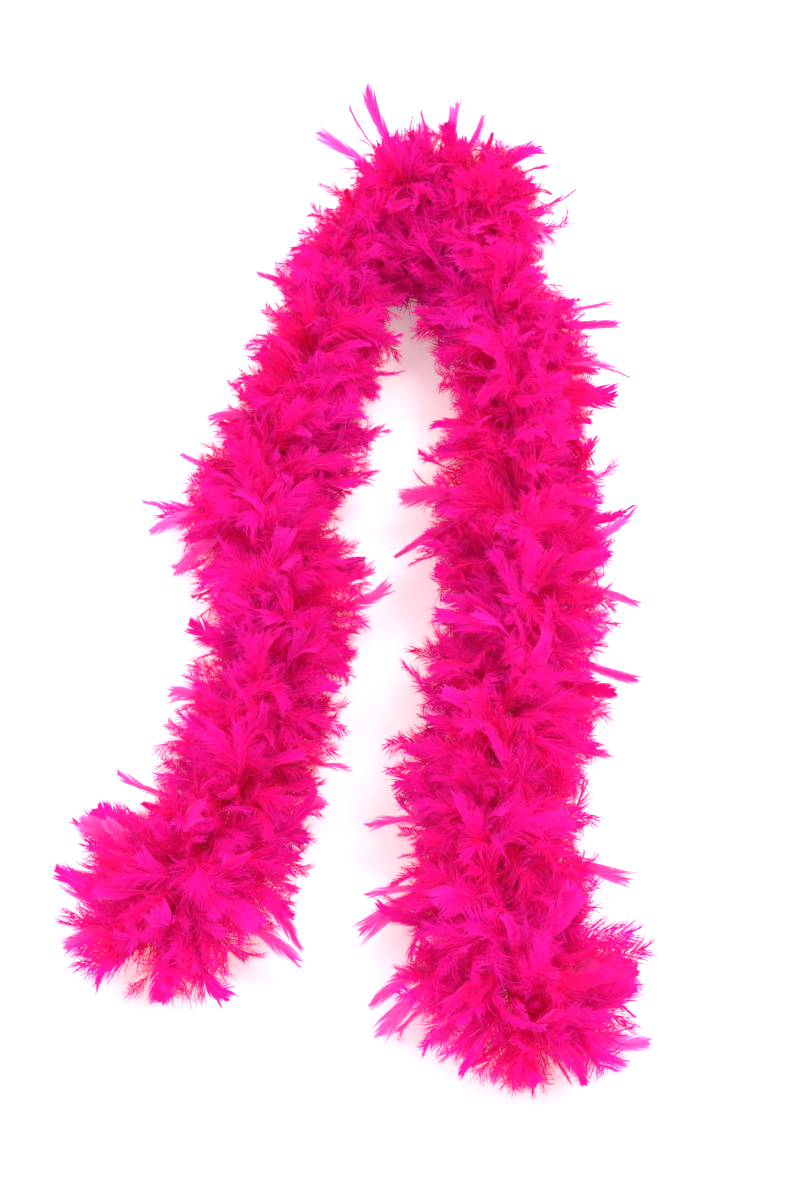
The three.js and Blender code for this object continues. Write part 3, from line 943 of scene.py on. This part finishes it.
for index, (name, body, a, b) in enumerate(TUFTS):
    r = np.random.default_rng(SEED * 100 + index)
    flat_count = END_FLATS if index in (0, len(TUFTS) - 1) else FLATS_PER_TUFT
    flats = scattered(a, b, flat_count, FLAT_REACH, r, FLAT_LOWEST, FLAT_LIMP)
    softer = scattered(a, b, SEMIPLUMES_PER_TUFT, SEMIPLUME_REACH, r, SEMIPLUME_LOWEST, SEMIPLUME_LIMP)
    downs = scattered(a, b, DOWNS_PER_TUFT, DOWN_REACH, r, DOWN_LOWEST, DOWN_LIMP)
    batches = [
        (flats, FLATS, r.uniform(0.8, 1.25, flat_count), VANE_SLOT),
        (softer, SEMIPLUMES, r.uniform(0.85, 1.15, SEMIPLUMES_PER_TUFT), VANE_SLOT),
        (downs, DOWNS, r.uniform(0.9, 1.3, DOWNS_PER_TUFT), VANE_SLOT),
    ]
    rows = [row for row in STRAYS if a <= stray_root(row) < b]
    if rows:
        widths = np.array([width for _, width, _ in rows]) / MIDDLE_WIDTH
        batches.append((strays(rows, r), FLATS, STRAYS_NARROWER * widths, THIN_SLOT))
    tuft = plumage(name.replace("feather_tuft", "plumage"), batches, r)
    attach(tuft, body, (a + b) / 2)
    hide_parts(name)

# ---------------------------------------------------------------- floor and light


def floor_material():
    s = Shader("pale_floor")
    fac = s.noise(3.0)
    colour = s.ramp(fac, [(0.3, (0.92, 0.92, 0.925)), (0.7, (0.94, 0.94, 0.94))])  # almost white
    surface = s.node("ShaderNodeBsdfPrincipled", {
        "Base Color": colour,
        "Roughness": 0.7,
        "Specular IOR Level": 0.2,
        "Emission Color": (1, 1, 1, 1),
        "Emission Strength": FLOOR_GLOW,
    })
    return s.finish(surface.outputs[0])


half = FLOOR_SIZE / 2
floor = mesh_object(
    "floor", np.array([(-half, -half, 0), (half, -half, 0), (half, half, 0), (-half, half, 0)]),
    np.array([[0, 1, 2, 3]]), {}, [floor_material()])

world = bpy.data.worlds.new("studio")
world.use_nodes = True
world.node_tree.nodes["Background"].inputs["Color"].default_value = (1, 1, 1, 1)
world.node_tree.nodes["Background"].inputs["Strength"].default_value = SKY_LIGHT
bpy.context.scene.world = world


def softbox(name, place, size, power):
    """A large soft lamp that points at the middle of the object."""
    light = bpy.data.lights.new(name, "AREA")
    light.shape = "RECTANGLE"
    light.size, light.size_y = size
    light.energy = power
    lamp = bpy.data.objects.new(name, light)
    lamp.location = place
    lamp.rotation_euler = (VIEW_TARGET - Vector(place)).to_track_quat("-Z", "Y").to_euler()
    bpy.context.scene.collection.objects.link(lamp)


softbox("key", (1.3, 0.6, 2.2), (1.4, 1.4), KEY_POWER)
softbox("fill", (-1.5, -0.6, 1.9), (1.8, 1.8), FILL_POWER)

bpy.context.scene.view_settings.view_transform = "Standard"
